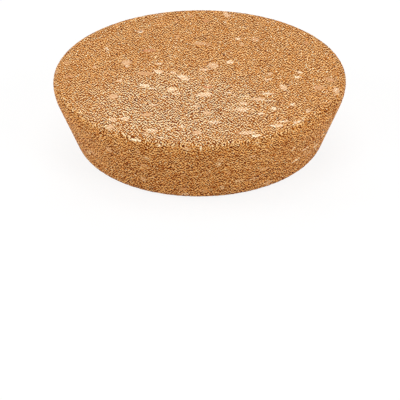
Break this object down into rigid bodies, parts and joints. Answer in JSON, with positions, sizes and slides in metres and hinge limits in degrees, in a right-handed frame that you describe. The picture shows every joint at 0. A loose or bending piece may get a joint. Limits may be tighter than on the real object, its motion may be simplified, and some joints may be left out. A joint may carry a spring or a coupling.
{
  "type": "cork stopper",
  "caption": "Wide tapered stopper of agglomerated cork, one solid disc with a rounded rim, shoulder and foot.",
  "frame": {"origin": "centre of the narrow face, on which the stopper stands", "axes": "+Z along the stopper's axis, from the narrow face to the wide face; the body is round, so +X and +Y are free"},
  "size_m": [0.1, 0.1, 0.025],
  "materials": {
    "cork": "matt, fine-grained agglomerated cork with larger pale flakes"
  },
  "bodies": {
    "root": {"stopper": "cork"}
  },
  "joints": []
}
